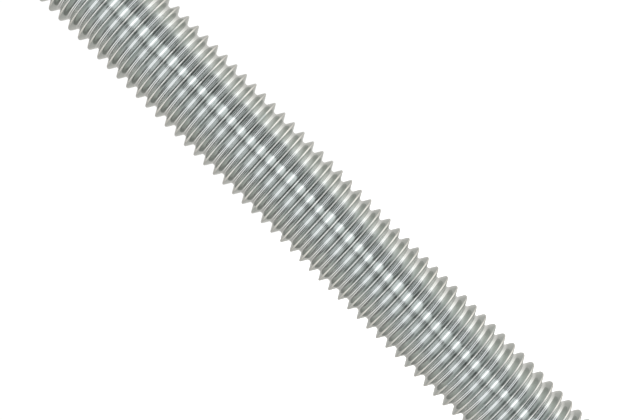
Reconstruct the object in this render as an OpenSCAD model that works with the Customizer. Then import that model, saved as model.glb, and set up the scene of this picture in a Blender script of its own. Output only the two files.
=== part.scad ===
// Threaded rod: a plain steel bar with a right-hand ISO metric thread over its whole length.
// It stands on its lower end, with +Z along its axis and the origin at the centre of that end face.
// Sizes are in millimetres.

/* [Rod] */
// Length over both end faces
rod_length = 120; // [30:1:140]
// Nominal thread diameter, which is 14 for M14
nominal_d = 14; // [11:0.5:17]

/* [Thread] */
// Axial distance from one crest to the next, which is 2 for coarse M14
pitch = 2; // [1.7:0.05:2.5]
// Angle between the two flanks
flank_angle = 60; // [50:1:65]
// How far the whole thread lies inside the basic profile, on the diameter
fit_allowance = 0.04; // [0:0.01:0.3]
// Straight steps that each turn of the thread is made of
steps_per_turn = 24; // [16:1:26]

/* [Ends] */
// How far the flat end face lies inside the thread's root, all round
end_face_inset = 0.12; // [0:0.01:1]
// Angle between the end chamfer and the end face
end_chamfer_angle = 45; // [30:1:60]

/* [Hidden] */
$fn = 48;

// The ISO basic profile: an eighth of the sharp triangle's height comes off its crest, and a
// quarter off its root
sharp_height = pitch / (2 * tan(flank_angle / 2));
crest_r = (nominal_d - fit_allowance) / 2;
sharp_crest_r = crest_r + sharp_height / 8;
root_r = sharp_crest_r - sharp_height * 3 / 4;
root_half_width = pitch / 8;

end_face_r = root_r - end_face_inset;
end_chamfer_h = (crest_r - end_face_r) * tan(end_chamfer_angle);

// The thread runs on past both end faces, and the bar cuts it to length
overrun = 1.5 * pitch;
steps = ceil((rod_length + 2 * overrun) / pitch) * steps_per_turn;

// One axial section of the ridge: lower foot, sharp crest, upper foot, as [radius, height]
ridge = [
    [root_r, root_half_width - pitch / 2],
    [sharp_crest_r, 0],
    [root_r, pitch / 2 - root_half_width]
];
points_a_step = len(ridge);
foot = points_a_step - 1;

// A ridge point carried along the helix to a given step
function on_helix(p, step) =
    let (turn = step / steps_per_turn)
    [p[0] * cos(360 * turn), p[0] * sin(360 * turn), p[1] + pitch * turn - overrun];

function vertex(step, i) = step * points_a_step + i;

// Both flanks of the ridge, two triangles to each step
function flank_faces() = [
    for (step = [0 : steps - 1], i = [0 : foot - 1])
        each [
            [vertex(step, i + 1), vertex(step + 1, i + 1), vertex(step, i)],
            [vertex(step + 1, i + 1), vertex(step + 1, i), vertex(step, i)]
        ]
];

// The root, from the upper foot of one turn to the lower foot of the next
function root_faces() = [
    for (step = [0 : steps - steps_per_turn - 1])
        let (next = step + steps_per_turn)
        each [
            [vertex(next + 1, 0), vertex(step + 1, foot), vertex(step, foot)],
            [vertex(next, 0), vertex(next + 1, 0), vertex(step, foot)]
        ]
];

// The lower end: a fan from the axis to the first turn's lower foot, and the ridge's blunt start
function lower_end_faces(centre) = [
    for (step = [0 : steps_per_turn - 1])
        [vertex(step, 0), vertex(step + 1, 0), centre],
    for (i = [0 : foot - 1])
        [vertex(0, i + 1), vertex(0, i), centre],
    [vertex(steps_per_turn, 0), vertex(0, foot), centre]
];

// The upper end: the same for the last turn's upper foot
function upper_end_faces(centre) = [
    for (step = [steps - steps_per_turn : steps - 1])
        [vertex(step + 1, foot), vertex(step, foot), centre],
    for (i = [0 : foot - 1])
        [vertex(steps, i), vertex(steps, i + 1), centre],
    [vertex(steps - steps_per_turn, foot), vertex(steps, 0), centre]
];

// An endless thread with sharp crests, a little longer than the rod
module sharp_thread() {
    ridge_points = [
        for (step = [0 : steps], p = ridge) on_helix(p, step)
    ];
    end_centres = [
        [0, 0, -overrun - pitch],
        [0, 0, pitch * (steps / steps_per_turn + 1) - overrun]
    ];
    polyhedron(
        points = concat(ridge_points, end_centres),
        faces = concat(
            flank_faces(),
            root_faces(),
            lower_end_faces(len(ridge_points)),
            upper_end_faces(len(ridge_points) + 1)
        ),
        convexity = 10
    );
}

// What the thread is cut back to: a bar as thick as the finished crests, with chamfered ends
module bar() {
    rotate_extrude()
        polygon([
            [0, 0],
            [end_face_r, 0],
            [crest_r, end_chamfer_h],
            [crest_r, rod_length - end_chamfer_h],
            [end_face_r, rod_length],
            [0, rod_length]
        ]);
}

module threaded_rod() {
    color("lightsteelblue")
        intersection() {
            bar();
            sharp_thread();
        }
}

threaded_rod();
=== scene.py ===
"""A zinc-plated threaded rod, standing on its end in a bright studio.

The rolled thread is one helical surface, worked out with numpy, that stands for the plainer
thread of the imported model. Lengths are in metres and angles in radians, unless a name says
otherwise. The rod's axis is +Z, and its lower end face lies on the floor.
"""

import math

import bpy
import numpy as np
from bpy.props import FloatProperty, FloatVectorProperty, IntProperty, PointerProperty
from mathutils import Matrix, Vector


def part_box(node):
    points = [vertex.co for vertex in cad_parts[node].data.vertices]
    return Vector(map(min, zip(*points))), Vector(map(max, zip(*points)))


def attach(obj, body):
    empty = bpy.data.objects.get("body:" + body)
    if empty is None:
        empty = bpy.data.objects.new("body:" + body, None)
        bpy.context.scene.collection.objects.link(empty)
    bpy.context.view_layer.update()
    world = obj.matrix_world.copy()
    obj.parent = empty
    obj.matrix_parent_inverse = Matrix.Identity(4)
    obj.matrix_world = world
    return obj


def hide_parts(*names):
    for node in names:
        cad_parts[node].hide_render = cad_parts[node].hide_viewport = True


bl_info = {
    "name": "Threaded rod",
    "version": (1, 0, 0),
    "blender": (4, 5, 0),
    "location": "View3D > Sidebar > Rod",
    "description": "Builds a zinc-plated metric threaded rod and its studio",
    "category": "Add Mesh",
}

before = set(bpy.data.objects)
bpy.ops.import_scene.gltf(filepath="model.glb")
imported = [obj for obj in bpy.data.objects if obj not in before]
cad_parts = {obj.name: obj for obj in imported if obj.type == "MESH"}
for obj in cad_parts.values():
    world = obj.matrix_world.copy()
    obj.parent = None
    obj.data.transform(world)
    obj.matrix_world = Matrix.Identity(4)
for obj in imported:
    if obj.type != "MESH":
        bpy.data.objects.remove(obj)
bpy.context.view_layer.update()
CAD_ROD = "threaded_rod"
ROD_LOW, ROD_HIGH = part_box(CAD_ROD)
MM = 0.001


def srgb(hex_colour):
    """The red, green and blue of a colour such as "#c0c4c2", from 0 to 1."""
    return [int(hex_colour[i : i + 2], 16) / 255 for i in (1, 3, 5)]


def hex_of(colour):
    """The hex text of a colour property, as srgb() and linear() read it."""
    return "#" + "".join(f"{round(c * 255):02x}" for c in colour[:3])


def linear(hex_colour):
    """Turns an sRGB colour such as "#c0c4c2" to linear RGBA."""
    part = srgb(hex_colour)
    return [c / 12.92 if c <= 0.04045 else ((c + 0.055) / 1.055) ** 2.4 for c in part] + [1.0]


def add_node(tree, kind, inputs=None, **settings):
    """Adds a node, sets its settings, and sets or links each named or numbered input."""
    node = tree.nodes.new(kind)
    for name, value in settings.items():
        setattr(node, name, value)
    for socket, value in (inputs or {}).items():
        if isinstance(value, bpy.types.NodeSocket):
            tree.links.new(value, node.inputs[socket])
        else:
            node.inputs[socket].default_value = value
    return node


# ---------------------------------------------------------------- the thread

# Turns of thread that are worked out past the rod's length, and turns from the lower end face
# down to the first crest
SPARE_TURNS = 4
FIRST_CREST = 1.5
# How much of the grooves' depth, from the crest down, strays with the crest
CREST_BAND = 1 / 4
# Points in the arc from root to flank, and in the shoulder from flank to crest
ARC_POINTS = 3
SHOULDER_POINTS = 4
# Small dents: the first turn that has any, half length in turns, and depth as a share of the
# deepest dent's
FIRST_DENT = 2
DENT_HALF_LENGTH = (0.008, 0.022)
DENT_SHARE = (0.25, 1.0)
# The two larger nicks: height on the rod, direction from +X, half length along the crest, depth
NICKS = (
    (22.3 * MM, math.radians(244), 0.35 * MM, 0.1 * MM),
    (66.0 * MM, math.radians(204), 0.4 * MM, 0.3 * MM),
)
# Faces that meet at more than this angle have a crisp edge between them
SHARP_EDGE = math.radians(38)


def root_radius(rod):
    """Radius of the root: five eighths of the sharp triangle's height under the crest, and a
    little more, because the dies press deeper than the basic profile."""
    basic_depth = rod.pitch / (2 * math.tan(rod.flank_angle / 2)) * 5 / 8
    return rod.crest_radius - basic_depth - rod.root_extra


def thread_profile(rod):
    """One pitch of the rolled profile, as radius and height, from one root to the next.

    From the root's middle it is half of a narrow flat, an arc that turns by the flank's slope,
    a straight flank that lies a little inside the basic profile's, a rounded shoulder, and half
    of the crest, which falls to a seam where the two flows of metal met. The other half mirrors
    it. Heights run from -pitch/2 to +pitch/2, and the last point, which is the next turn's
    first, is left out.
    """
    slope = math.pi / 2 - rod.flank_angle / 2
    crest_half = rod.pitch / 16 - rod.flank_inset
    root_r = root_radius(rod)
    root_half = rod.pitch / 8 + rod.flank_inset - rod.root_extra * math.tan(rod.flank_angle / 2)
    root_half -= rod.root_rounding * math.tan(slope / 2)  # where the flat meets the arc

    turn = np.linspace(0, slope, ARC_POINTS)
    arc_r = root_r + rod.root_rounding * (1 - np.cos(turn))
    arc_z = rod.root_rounding * np.sin(turn) + root_half - rod.pitch / 2

    shoulder = rod.shoulder_rounding
    bend = np.linspace(slope, 0, SHOULDER_POINTS)
    set_back = shoulder * math.tan(slope / 2)
    shoulder_z = -crest_half + set_back - shoulder * np.sin(bend)
    shoulder_r = rod.crest_radius - shoulder * (1 - np.cos(bend))

    part = np.array([0.33, 0.67])
    flank_z = arc_z[-1] + part * (shoulder_z[0] - arc_z[-1])
    flank_r = arc_r[-1] + part * (shoulder_r[0] - arc_r[-1])

    # The seam is deepest in the crest's middle, and a third as deep 0.3 of the way to its edge
    seam_z = np.array([-0.3 * crest_half, 0.0])
    seam_r = rod.crest_radius - rod.seam_depth * np.array([0.35, 1.0])

    half_z = np.concatenate([[-rod.pitch / 2], arc_z, flank_z, shoulder_z, seam_z])
    half_r = np.concatenate([[root_r], arc_r, flank_r, shoulder_r, seam_r])
    height = np.concatenate([half_z, -half_z[-2:0:-1]])
    radius = np.concatenate([half_r, half_r[-2:0:-1]])
    return radius, height


def wander(position, seed, longest, shortest, waves=9):
    """A smooth random line from -1 to 1: a sum of sines whose wavelengths run from longest to
    shortest in equal ratios, each with a random phase and a height that falls with its length."""
    rng = np.random.default_rng(seed)
    length = np.geomspace(longest, shortest, waves)
    phase = rng.uniform(0, 2 * math.pi, waves)
    height = np.sqrt(length / longest)
    wave = np.sin(2 * math.pi * position[..., None] / length + phase) * height
    return wave.sum(axis=-1) / height.sum()


def turn_at(rod, height, direction):
    """Where the crest nearest a height and a direction lies, in turns along the thread."""
    part = direction / (2 * math.pi)
    return part + round(height / rod.pitch + FIRST_CREST - part)


def thread_grid(rod):
    """The thread as grids of radius and height over (step round the rod, point up the rod).

    Point q at step a lies at height pitch * (whole turns in q + a / steps - FIRST_CREST) + its
    profile height, so that a whole turn further on every profile point meets the next one up.
    """
    radius, height = thread_profile(rod)
    across = len(radius)
    length = ROD_HIGH.z - ROD_LOW.z
    turns = math.ceil(length / rod.pitch) + SPARE_TURNS
    turn = np.arange(turns)[None, :, None] + np.arange(rod.steps)[:, None, None] / rod.steps
    crest_z = (turn - FIRST_CREST) * rod.pitch

    # Rolling never fills the dies evenly: the crest and its seam rise, fall and stray a little,
    # and the flanks swell. Each of the four lines has a seed, and its longest and shortest wave
    # in turns.
    reach = np.clip((radius - radius.min()) / np.ptp(radius), 0, 1)
    crest_share = np.clip((reach - 1) / CREST_BAND + 1, 0, 1)
    flank_share = 4 * reach * (1 - reach)
    side = np.sign(height)
    rise = rod.crest_wander * wander(turn, 11, 7.3, 0.21)
    tilt = 0.6 * rod.crest_wander * wander(turn, 12, 3.1, 0.13)
    stray = 1.2 * rod.crest_wander * wander(turn, 13, 5.2, 0.17)
    swell = 0.5 * rod.crest_wander * wander(turn, 14, 2.3, 0.11)
    uneven = rise - rod.crest_wander + tilt * side
    grid_r = radius + crest_share * uneven + flank_share * swell
    grid_z = crest_z + height + crest_share * stray

    # Handling leaves small dents in the crests, and two larger nicks
    rng = np.random.default_rng(rod.dent_seed)
    dents = []
    for _ in range(rod.dents):
        at = rng.uniform(FIRST_DENT, turns - SPARE_TURNS)
        width = rng.uniform(*DENT_HALF_LENGTH)
        depth = rng.uniform(*DENT_SHARE) * rod.dent_depth
        dents.append((at, width, depth))
    for height_up, direction, length_along, depth in NICKS:
        width = length_along / (2 * math.pi * rod.crest_radius)
        dents.append((turn_at(rod, height_up, direction), width, depth))
    for at, width, depth in dents:
        dent = depth * np.exp(-(((turn - at) / width) ** 2))
        grid_r = grid_r - crest_share**0.5 * dent
    return (
        grid_r.reshape(rod.steps, turns * across),
        grid_z.reshape(rod.steps, turns * across),
        across,
    )


def cut_to_length(grid_r, grid_z, rod, length):
    """Cuts the grid by the two end cones, r = face radius + distance from the end face.

    A point outside a cone whose neighbour up or down the rod is inside slides along the
    surface to where the two meet, so the cut's edge is sharp. Every other point outside a cone
    moves straight in to it.
    """
    run = 1 / math.tan(rod.end_chamfer_angle)
    cone = rod.end_face_radius + run * np.minimum(grid_z, length - grid_z)
    over = grid_r - cone
    new_r = np.minimum(grid_r, cone)
    new_z = grid_z.copy()
    for step in (1, -1):
        near_over = np.roll(over, step, axis=1)
        edge = (over > 0) & (near_over <= 0)
        share = np.where(edge, over / np.where(edge, over - near_over, 1), 0)
        new_z = np.where(edge, grid_z + share * (np.roll(grid_z, step, axis=1) - grid_z), new_z)
        new_r = np.where(edge, grid_r + share * (np.roll(grid_r, step, axis=1) - grid_r), new_r)
    return new_r, new_z


def rod_surface(rod):
    """Vertices and triangles of the whole rod, closed at both ends.

    Points past an end face are all drawn to its rim, and the triangles that this flattens are
    dropped. A point that is left alone over a rim keeps two triangles back to back. Each end
    face is then closed by rings that shrink to its centre.
    """
    length = ROD_HIGH.z - ROD_LOW.z
    grid_r, grid_z, across = thread_grid(rod)
    grid_r, grid_z = cut_to_length(grid_r, grid_z, rod, length)
    steps, points = grid_r.shape
    angle = 2 * math.pi * np.arange(steps) / steps

    index = np.arange(steps * points).reshape(steps, points)
    rims = steps * points + np.arange(2 * steps).reshape(2, steps)
    index = np.where(grid_z <= 0, rims[0][:, None], index)
    index = np.where(grid_z >= length, rims[1][:, None], index)
    next_turn = np.minimum(np.arange(points) + across, points - 1)
    index = np.vstack([index, index[0, next_turn]])

    def ring_points(radius, z):
        level = np.full(steps, z)
        return np.stack([radius * np.cos(angle), radius * np.sin(angle), level], axis=-1)

    thread = np.stack(
        [grid_r * np.cos(angle)[:, None], grid_r * np.sin(angle)[:, None], grid_z], axis=-1
    ).reshape(-1, 3)
    rings = rod.end_face_radius * np.linspace(1, 0, rod.end_rings, endpoint=False)
    vertices = [thread]
    for z in (0.0, length):
        vertices.append(ring_points(rings[0], z))
    quads = [
        np.stack([index[:-1, :-1], index[1:, :-1], index[1:, 1:], index[:-1, 1:]], axis=-1).reshape(
            -1, 4
        )
    ]
    count = steps * points + 2 * steps
    fans = []
    for end, z in enumerate((0.0, length)):
        outer = rims[end]
        for radius in rings[1:]:
            inner = count + np.arange(steps)
            vertices.append(ring_points(radius, z))
            count += steps
            quad = np.stack([outer, np.roll(outer, -1), np.roll(inner, -1), inner], axis=-1)
            quads.append(quad if end else quad[:, ::-1])
            outer = inner
        vertices.append(np.array([[0.0, 0.0, z]]))
        fan = np.stack([outer, np.roll(outer, -1), np.full(steps, count)], axis=-1)
        fans.append(fan if end else fan[:, ::-1])
        count += 1

    quads = np.concatenate(quads)
    triangles = np.concatenate([quads[:, [0, 1, 2]], quads[:, [0, 2, 3]], *fans])
    distinct = (
        (triangles[:, 0] != triangles[:, 1])
        & (triangles[:, 1] != triangles[:, 2])
        & (triangles[:, 2] != triangles[:, 0])
    )
    triangles = triangles[distinct]
    used, triangles = np.unique(triangles, return_inverse=True)
    return np.concatenate(vertices)[used], triangles.reshape(-1, 3)


def mesh_object(name, vertices, triangles):
    """A smooth-shaded object at the origin, with the edges past SHARP_EDGE kept crisp."""
    mesh = bpy.data.meshes.new(name)
    mesh.vertices.add(len(vertices))
    mesh.vertices.foreach_set("co", vertices.ravel())
    mesh.loops.add(triangles.size)
    mesh.loops.foreach_set("vertex_index", triangles.ravel())
    mesh.polygons.add(len(triangles))
    mesh.polygons.foreach_set("loop_start", np.arange(0, triangles.size, 3))
    mesh.update(calc_edges=True)
    mesh.shade_smooth()
    mesh.set_sharp_from_angle(angle=SHARP_EDGE)
    obj = bpy.data.objects.new(name, mesh)
    bpy.context.scene.collection.objects.link(obj)
    return obj


# ---------------------------------------------------------------- finishes

# Where the crest's finish, the roots' painted highlight and the ends' finish fade in: under
# the crest, over the root and inside the end faces
CREST_FADE = (0.06 * MM, 0.02 * MM)
ROOT_HIGHLIGHT_FADE = (0.3 * MM, 0.08 * MM)
END_FADE = (0.03 * MM, 0.01 * MM)
# Sizes of the film's clouds, of the plating's grain and of the waves in the flanks. The real
# grain is far finer: it is drawn as coarse as it needs to show.
CLOUD_SIZE = 4 * MM
GRAIN_SIZE = 0.16 * MM
RIPPLE_SIZE = 2.2 * MM
GRAIN_HEIGHT = 0.006 * MM
SAW_MARK_HEIGHT = 0.02 * MM
# How much the grain changes the roughness each way
ROUGHNESS_SPREAD = 0.03


def zinc_plate(finish, crest_radius, root_level):
    """Bright zinc plating with a clear passivated film, on rolled steel.

    The dies burnish the flanks, and the roots most of all, so they mirror softly. The roots'
    paler colour is a painted highlight, which lightens them where their reflections fall. The
    crests never touch the dies: they are rougher, and handling leaves them a warmer, paler
    grey. The ends are matt from the saw.
    """
    material = bpy.data.materials.new("bright_zinc_plated_steel")
    material.use_nodes = True
    tree = material.node_tree
    tree.nodes.clear()

    place = add_node(tree, "ShaderNodeTexCoord").outputs["Object"]
    xyz = add_node(tree, "ShaderNodeSeparateXYZ", {0: place})
    flat = add_node(
        tree, "ShaderNodeCombineXYZ", {"X": xyz.outputs["X"], "Y": xyz.outputs["Y"]}
    ).outputs[0]
    from_axis = add_node(
        tree, "ShaderNodeVectorMath", {0: flat}, operation="LENGTH"
    ).outputs["Value"]
    crest = add_node(
        tree,
        "ShaderNodeMapRange",
        {
            "Value": from_axis,
            "From Min": crest_radius - CREST_FADE[0],
            "From Max": crest_radius - CREST_FADE[1],
        },
        interpolation_type="SMOOTHSTEP",
    ).outputs["Result"]

    cloud = add_node(
        tree,
        "ShaderNodeTexNoise",
        {"Vector": place, "Scale": 1 / CLOUD_SIZE, "Detail": 3.0, "Roughness": 0.55},
    ).outputs["Fac"]
    grain = add_node(
        tree,
        "ShaderNodeTexNoise",
        {"Vector": place, "Scale": 1 / GRAIN_SIZE, "Detail": 2.0, "Roughness": 0.6},
    ).outputs["Fac"]

    # Mask of the painted highlight: it marks the roots, whose colour is made paler where their
    # reflections fall
    root = add_node(
        tree,
        "ShaderNodeMapRange",
        {
            "Value": from_axis,
            "From Min": root_level + ROOT_HIGHLIGHT_FADE[0],
            "From Max": root_level + ROOT_HIGHLIGHT_FADE[1],
        },
        interpolation_type="SMOOTHSTEP",
    ).outputs["Result"]
    film = add_node(
        tree,
        "ShaderNodeMix",
        {
            "Factor": cloud,
            6: linear(hex_of(finish.film_dark)),
            7: linear(hex_of(finish.film_light)),
        },
        data_type="RGBA",
    ).outputs[2]
    # Painted highlight: the roots are given a paler colour, which brightens what they mirror
    film = add_node(
        tree,
        "ShaderNodeMix",
        {"Factor": root, 6: film, 7: linear(hex_of(finish.root))},
        data_type="RGBA",
    ).outputs[2]
    colour = add_node(
        tree,
        "ShaderNodeMix",
        {"Factor": crest, 6: film, 7: linear(hex_of(finish.crest))},
        data_type="RGBA",
    ).outputs[2]

    rough = add_node(
        tree,
        "ShaderNodeMapRange",
        {
            "Value": grain,
            "From Min": 0.3,
            "From Max": 0.7,
            "To Min": finish.roughness - ROUGHNESS_SPREAD,
            "To Max": finish.roughness + ROUGHNESS_SPREAD,
        },
    ).outputs["Result"]
    rough = add_node(
        tree,
        "ShaderNodeMix",
        {"Factor": crest, 2: rough, 3: finish.crest_roughness},
        data_type="FLOAT",
    ).outputs[0]

    # The ends were sawn before plating, which leaves them matt, with fine, slightly wavy marks.
    # They are found by how far a point lies from the rod's middle.
    middle = (ROD_LOW.z + ROD_HIGH.z) / 2
    up = add_node(
        tree, "ShaderNodeMath", {0: xyz.outputs["Z"], 1: middle}, operation="SUBTRACT"
    ).outputs[0]
    from_middle = add_node(tree, "ShaderNodeMath", {0: up}, operation="ABSOLUTE").outputs[0]
    end = add_node(
        tree,
        "ShaderNodeMapRange",
        {
            "Value": from_middle,
            "From Min": ROD_HIGH.z - middle - END_FADE[0],
            "From Max": ROD_HIGH.z - middle - END_FADE[1],
        },
    ).outputs["Result"]
    # A wave texture repeats every pi / (10 * scale)
    saw_scale = math.pi / 10 / finish.saw_pitch
    saw = add_node(
        tree,
        "ShaderNodeTexWave",
        {"Vector": place, "Scale": saw_scale, "Distortion": 3.0, "Detail": 2.0},
    ).outputs["Fac"]
    saw = add_node(tree, "ShaderNodeMath", {0: saw, 1: end}, operation="MULTIPLY").outputs[0]
    rough = add_node(
        tree,
        "ShaderNodeMix",
        {"Factor": end, 2: rough, 3: finish.end_roughness},
        data_type="FLOAT",
    ).outputs[0]

    # The dies leave the flanks faintly wavy, which bends what they mirror
    ripple = add_node(
        tree,
        "ShaderNodeTexNoise",
        {"Vector": place, "Scale": 1 / RIPPLE_SIZE, "Detail": 0.0},
    ).outputs["Fac"]
    waves = add_node(
        tree,
        "ShaderNodeBump",
        {"Height": ripple, "Strength": 1.0, "Distance": finish.ripple_height},
    ).outputs["Normal"]
    waves = add_node(
        tree,
        "ShaderNodeBump",
        {"Height": saw, "Strength": 1.0, "Distance": SAW_MARK_HEIGHT, "Normal": waves},
    ).outputs["Normal"]
    bump = add_node(
        tree,
        "ShaderNodeBump",
        {"Height": grain, "Strength": 0.2, "Distance": GRAIN_HEIGHT, "Normal": waves},
    ).outputs["Normal"]
    shader = add_node(
        tree,
        "ShaderNodeBsdfPrincipled",
        {"Base Color": colour, "Metallic": 1.0, "Roughness": rough, "Normal": bump},
    )
    add_node(tree, "ShaderNodeOutputMaterial", {"Surface": shader.outputs[0]})
    return material


def matt_white():
    """Matt white paper, as a studio floor is laid with."""
    material = bpy.data.materials.new("matt_white_paper")
    material.use_nodes = True
    shader = material.node_tree.nodes["Principled BSDF"]
    shader.inputs["Base Color"].default_value = linear("#f4f4f4")
    shader.inputs["Roughness"].default_value = 0.9
    return material


# ---------------------------------------------------------------- settings


class RodSettings(bpy.types.PropertyGroup):
    """Sizes of the rod and its thread."""

    crest_radius: FloatProperty(
        name="Crest radius",
        description="Half of the outside diameter",
        default=(ROD_HIGH.x - ROD_LOW.x) / 2,
        unit="LENGTH",
    )
    pitch: FloatProperty(
        name="Pitch",
        description="Distance along the rod from one crest to the next",
        default=2.0 * MM,
        unit="LENGTH",
    )
    flank_angle: FloatProperty(
        name="Flank angle",
        description="Angle between the two flanks",
        default=math.radians(60),
        subtype="ANGLE",
    )
    flank_inset: FloatProperty(
        name="Flank inset",
        description="How far each flank lies inside the basic profile, along the rod",
        default=0.02 * MM,
        unit="LENGTH",
    )
    root_extra: FloatProperty(
        name="Extra root depth",
        description="How far the root lies under the basic profile's",
        default=0.04 * MM,
        unit="LENGTH",
    )
    root_rounding: FloatProperty(
        name="Root rounding",
        description="Radius where the flat root turns into a flank",
        default=0.3 * MM,
        unit="LENGTH",
    )
    shoulder_rounding: FloatProperty(
        name="Shoulder rounding",
        description="Radius where a flank turns into the crest",
        default=0.15 * MM,
        unit="LENGTH",
    )
    seam_depth: FloatProperty(
        name="Seam depth",
        description="Depth of the rolling seam along the middle of the crest",
        default=0.02 * MM,
        unit="LENGTH",
    )
    crest_wander: FloatProperty(
        name="Crest wander",
        description="How far the crest strays from its true place",
        default=0.016 * MM,
        unit="LENGTH",
    )
    dents: IntProperty(name="Dents", description="How many small dents the crests have", default=26)
    dent_depth: FloatProperty(
        name="Dent depth",
        description="Depth of the deepest dent",
        default=0.1 * MM,
        unit="LENGTH",
    )
    dent_seed: IntProperty(name="Dent seed", description="Places the dents", default=5)
    end_face_radius: FloatProperty(
        name="End face radius",
        description="Radius of the flat end faces, a little inside the thread's root",
        default=5.78 * MM,
        unit="LENGTH",
    )
    end_chamfer_angle: FloatProperty(
        name="End chamfer angle",
        description="Angle between the end chamfer and the end face",
        default=math.radians(45),
        subtype="ANGLE",
    )
    steps: IntProperty(name="Steps", description="Steps in one turn of the thread", default=72)
    end_rings: IntProperty(name="End rings", description="Rings that close an end face", default=6)


class FinishSettings(bpy.types.PropertyGroup):
    """Colours and gloss of the plating."""

    film_dark: FloatVectorProperty(
        name="Film, darker",
        description="Plated flanks where the film is thick",
        default=srgb("#abb0ad"),
        subtype="COLOR_GAMMA",
    )
    film_light: FloatVectorProperty(
        name="Film, lighter",
        description="Plated flanks where the film is thin",
        default=srgb("#bbbfbc"),
        subtype="COLOR_GAMMA",
    )
    # Painted highlight: the roots' paler colour lightens them where their reflections fall
    root: FloatVectorProperty(
        name="Root",
        description="Plating on the root, which the dies burnish most",
        default=srgb("#cccecd"),
        subtype="COLOR_GAMMA",
    )
    crest: FloatVectorProperty(
        name="Crest",
        description="Worn plating on the crests",
        default=srgb("#cfcdc9"),
        subtype="COLOR_GAMMA",
    )
    roughness: FloatProperty(
        name="Roughness", description="Gloss of the flanks and roots", default=0.11
    )
    crest_roughness: FloatProperty(
        name="Crest roughness", description="Gloss of the crests", default=0.15
    )
    end_roughness: FloatProperty(
        name="End roughness", description="Gloss of the sawn end faces", default=0.4
    )
    ripple_height: FloatProperty(
        name="Ripple height",
        description="Height of the faint waves in the flanks",
        default=0.08 * MM,
        unit="LENGTH",
    )
    saw_pitch: FloatProperty(
        name="Saw mark spacing",
        description="Distance between the marks on the end faces",
        default=0.45 * MM,
        unit="LENGTH",
    )


class StudioSettings(bpy.types.PropertyGroup):
    """Where the camera stands."""

    aim_height: FloatProperty(
        name="Aim height",
        description="Height on the rod's axis that the camera looks at",
        default=59.737 * MM,
        unit="LENGTH",
    )
    distance: FloatProperty(
        name="Distance",
        description="From the camera to the rod's axis",
        default=327.3 * MM,
        unit="LENGTH",
    )
    elevation: FloatProperty(
        name="Elevation",
        description="How far the camera looks down",
        default=math.radians(1.34),
        subtype="ANGLE",
    )
    roll: FloatProperty(
        name="Roll",
        description="How far the camera is turned clockwise on its own axis",
        default=math.radians(44.85),
        subtype="ANGLE",
    )
    focal_length: FloatProperty(
        name="Focal length", description="In millimetres, on a sensor 36 mm wide", default=126.9
    )


# ---------------------------------------------------------------- operators


class RollThreadedRod(bpy.types.Operator):
    """Builds the rod with its rolled, plated thread"""

    bl_idname = "rod.roll_threaded_rod"
    bl_label = "Roll threaded rod"

    def execute(self, context):
        rod = context.scene.rod_settings
        vertices, triangles = rod_surface(rod)
        piece = mesh_object("rolled_threaded_rod", vertices, triangles)
        zinc = zinc_plate(context.scene.rod_finish, rod.crest_radius, root_radius(rod))
        piece.data.materials.append(zinc)
        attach(piece, "root")
        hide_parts(CAD_ROD)
        return {"FINISHED"}


# The tent's panels: degrees from -Y, where the camera stands, towards +X, and brightness there
PANELS = (
    (-180, 0.6),
    (-135, 0.45),
    (-105, 0.12),
    (-80, 0),
    (-60, 0.12),
    (-44, 0.95),
    (-25, 1),
    (-12, 0.1),
    (-6, 0.1),
    (2, 1.75),
    (10, 2),
    (22, 2),
    (31, 0),
    (66, 0),
    (77, 0.8),
    (85, 1.45),
    (105, 1.1),
    (135, 0.8),
    (180, 0.6),
)
# How bright the tent is towards each elevation in degrees: a dark ring lies round its top, and
# another low down
HEIGHTS = (
    (-90, 0.75),
    (-74, 0.65),
    (-65, 0.12),
    (-53, 0.14),
    (-44, 0.7),
    (-28, 1),
    (0, 1),
    (28, 0.98),
    (44, 0.6),
    (54, 0.36),
    (66, 0.36),
    (73, 0.06),
    (80, 0.1),
    (86, 0.75),
    (90, 0.8),
)
# The brightest panel's level: the ramps hold shares of it, from 0 to 1
BRIGHTEST = 2.0
# Makes the whole tent brighter or darker
TENT_GAIN = 1.13
# The even light's level in front, at the back, and the degrees between which it changes
EVEN_LEVEL = 1.55
EVEN_LEVEL_BEHIND = 0.6
EVEN_TURN = (95, 155)
# How much of the light is even, by how many degrees it is off the horizon
EVEN_SHARE = ((0, 0.14), (6, 0.2), (15, 0.7), (34, 0.8), (45, 0.3), (62, 0.3), (90, 0.6))
# The panels' tints, and the degrees between which one turns to the other
FRONT_TINT = "#fafdff"
SIDE_TINT = "#fffdf8"
TINT_TURN = (50, 120)
# How bright the white behind the rod is
PAPER_LEVEL = 1.05
# Half of the floor's side, and the light on it
FLOOR_HALF = 3.0
FLOOR_LIGHT = 3.4
FLOOR_LIGHT_SPREAD = math.radians(70)
# The floor lies a little under the rod, so that the two don't share a face
FLOOR_GAP = 0.02 * MM


def ramp_of(tree, position, stops):
    """A colour ramp in greys through (position from 0 to 1, brightness) stops."""
    ramp = add_node(tree, "ShaderNodeValToRGB", {"Fac": position})
    ramp.color_ramp.interpolation = "EASE"
    elements = ramp.color_ramp.elements
    while len(elements) > 1:
        elements.remove(elements[-1])
    for i, (at, level) in enumerate(stops):
        element = elements[0] if i == 0 else elements.new(at)
        element.position = at
        element.color = (level, level, level, 1)
    return ramp.outputs["Color"]


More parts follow.
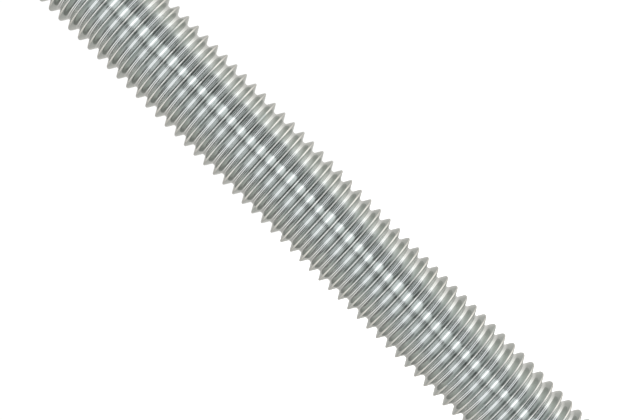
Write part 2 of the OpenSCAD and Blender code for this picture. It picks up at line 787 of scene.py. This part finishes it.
def light_tent(scene):
    """The world as a round light tent: white to the camera, and to the rod a ring of soft
    panels and darker gaps, which blur into even light above and below them."""
    world = bpy.data.worlds.new("light_tent")
    scene.world = world
    world.use_nodes = True
    tree = world.node_tree
    tree.nodes.clear()

    def math_node(operation, first, second):
        node = add_node(tree, "ShaderNodeMath", {0: first, 1: second}, operation=operation)
        return node.outputs[0]

    def times(first, second):
        return add_node(
            tree,
            "ShaderNodeMix",
            {"Factor": 1.0, 6: first, 7: second},
            data_type="RGBA",
            blend_type="MULTIPLY",
        ).outputs[2]

    way = add_node(tree, "ShaderNodeTexCoord").outputs["Generated"]
    xyz = add_node(tree, "ShaderNodeSeparateXYZ", {0: way})
    ahead = math_node("MULTIPLY", xyz.outputs["Y"], -1.0)
    compass = math_node("ARCTAN2", xyz.outputs["X"], ahead)
    part = add_node(
        tree, "ShaderNodeMapRange", {"Value": compass, "From Min": -math.pi, "From Max": math.pi}
    ).outputs["Result"]
    ring = ramp_of(tree, part, [(d / 360 + 0.5, level / BRIGHTEST) for d, level in PANELS])

    # A little above and below the horizon, even light shows between the tall panels
    off_level = math_node("ABSOLUTE", xyz.outputs["Z"], 0.0)
    shares = [(math.sin(math.radians(d)), share) for d, share in EVEN_SHARE]
    blur = ramp_of(tree, off_level, shares)
    off_front = math_node("ABSOLUTE", compass, 0.0)
    behind = add_node(
        tree,
        "ShaderNodeMapRange",
        {
            "Value": off_front,
            "From Min": math.radians(EVEN_TURN[0]),
            "From Max": math.radians(EVEN_TURN[1]),
            "To Min": EVEN_LEVEL / BRIGHTEST,
            "To Max": EVEN_LEVEL_BEHIND / BRIGHTEST,
        },
        interpolation_type="SMOOTHSTEP",
    ).outputs["Result"]
    soft = add_node(
        tree, "ShaderNodeMix", {"Factor": blur, 6: ring, 7: behind}, data_type="RGBA"
    ).outputs[2]
    rise = add_node(
        tree, "ShaderNodeMapRange", {"Value": xyz.outputs["Z"], "From Min": -1.0, "From Max": 1.0}
    ).outputs["Result"]
    levels = [(math.sin(math.radians(d)) / 2 + 0.5, level) for d, level in HEIGHTS]
    light = times(soft, ramp_of(tree, rise, levels))

    # The panels in front are cooler than those at the sides and the back
    aside = add_node(
        tree,
        "ShaderNodeMapRange",
        {
            "Value": off_front,
            "From Min": math.radians(TINT_TURN[0]),
            "From Max": math.radians(TINT_TURN[1]),
        },
        interpolation_type="SMOOTHSTEP",
    ).outputs["Result"]
    tint = add_node(
        tree,
        "ShaderNodeMix",
        {"Factor": aside, 6: linear(FRONT_TINT), 7: linear(SIDE_TINT)},
        data_type="RGBA",
    ).outputs[2]

    tent = add_node(
        tree,
        "ShaderNodeBackground",
        {"Color": times(light, tint), "Strength": BRIGHTEST * TENT_GAIN},
    ).outputs[0]
    paper = add_node(
        tree, "ShaderNodeBackground", {"Color": (1, 1, 1, 1), "Strength": PAPER_LEVEL}
    ).outputs[0]
    seen = add_node(tree, "ShaderNodeLightPath").outputs["Is Camera Ray"]
    both = add_node(tree, "ShaderNodeMixShader", {0: seen, 1: tent, 2: paper}).outputs[0]
    add_node(tree, "ShaderNodeOutputWorld", {"Surface": both})


class SetStudio(bpy.types.Operator):
    """Lays the floor, puts up the light tent and stands the camera"""

    bl_idname = "rod.set_studio"
    bl_label = "Set studio"

    def execute(self, context):
        scene = context.scene
        studio = scene.rod_studio

        half = FLOOR_HALF
        mesh = bpy.data.meshes.new("floor")
        mesh.from_pydata(
            [(-half, -half, 0), (half, -half, 0), (half, half, 0), (-half, half, 0)],
            [],
            [(0, 1, 2, 3)],
        )
        mesh.materials.append(matt_white())
        floor = bpy.data.objects.new("floor", mesh)
        scene.collection.objects.link(floor)
        floor.location.z = ROD_LOW.z - FLOOR_GAP
        floor.visible_glossy = False
        floor.visible_diffuse = False

        lit = bpy.data.collections.new("lit_by_the_floor_light")
        lit.objects.link(floor)
        sun = bpy.data.lights.new("floor_light", "SUN")
        sun.energy = FLOOR_LIGHT
        sun.angle = FLOOR_LIGHT_SPREAD
        lamp = bpy.data.objects.new("floor_light", sun)
        lamp.light_linking.receiver_collection = lit
        scene.collection.objects.link(lamp)

        light_tent(scene)

        camera = bpy.data.cameras.new("camera")
        camera.lens = studio.focal_length
        camera.sensor_width = 36.0
        camera.clip_start = 0.01
        camera.clip_end = 20.0
        viewer = bpy.data.objects.new("camera", camera)
        scene.collection.objects.link(viewer)
        aim = Vector((0, 0, studio.aim_height))
        back = Vector((0, -math.cos(studio.elevation), math.sin(studio.elevation)))
        viewer.matrix_world = (
            Matrix.Translation(aim + studio.distance * back)
            @ Matrix.Rotation(math.pi / 2 - studio.elevation, 4, "X")
            @ Matrix.Rotation(-studio.roll, 4, "Z")
        )
        scene.camera = viewer
        scene.view_settings.view_transform = "Standard"
        return {"FINISHED"}


class RodPanel(bpy.types.Panel):
    """Lists what builds the rod and its studio"""

    bl_idname = "VIEW3D_PT_threaded_rod"
    bl_label = "Threaded rod"
    bl_space_type = "VIEW_3D"
    bl_region_type = "UI"
    bl_category = "Rod"

    def draw(self, context):
        layout = self.layout
        scene = context.scene
        for operator, settings in (
            (SetStudio, (scene.rod_studio,)),
            (RollThreadedRod, (scene.rod_settings, scene.rod_finish)),
        ):
            layout.operator(operator.bl_idname)
            for group in settings:
                for name in group.__annotations__:
                    layout.prop(group, name)


CLASSES = (RodSettings, FinishSettings, StudioSettings, RollThreadedRod, SetStudio, RodPanel)


def register():
    """Registers the classes, and gives each scene its settings."""
    for cls in CLASSES:
        bpy.utils.register_class(cls)
    bpy.types.Scene.rod_settings = PointerProperty(type=RodSettings)
    bpy.types.Scene.rod_finish = PointerProperty(type=FinishSettings)
    bpy.types.Scene.rod_studio = PointerProperty(type=StudioSettings)


def unregister():
    """Takes away what register() gave."""
    del bpy.types.Scene.rod_studio
    del bpy.types.Scene.rod_finish
    del bpy.types.Scene.rod_settings
    for cls in reversed(CLASSES):
        bpy.utils.unregister_class(cls)


def main():
    register()
    bpy.ops.rod.set_studio()
    bpy.ops.rod.roll_threaded_rod()


if __name__ == "__main__":
    main()
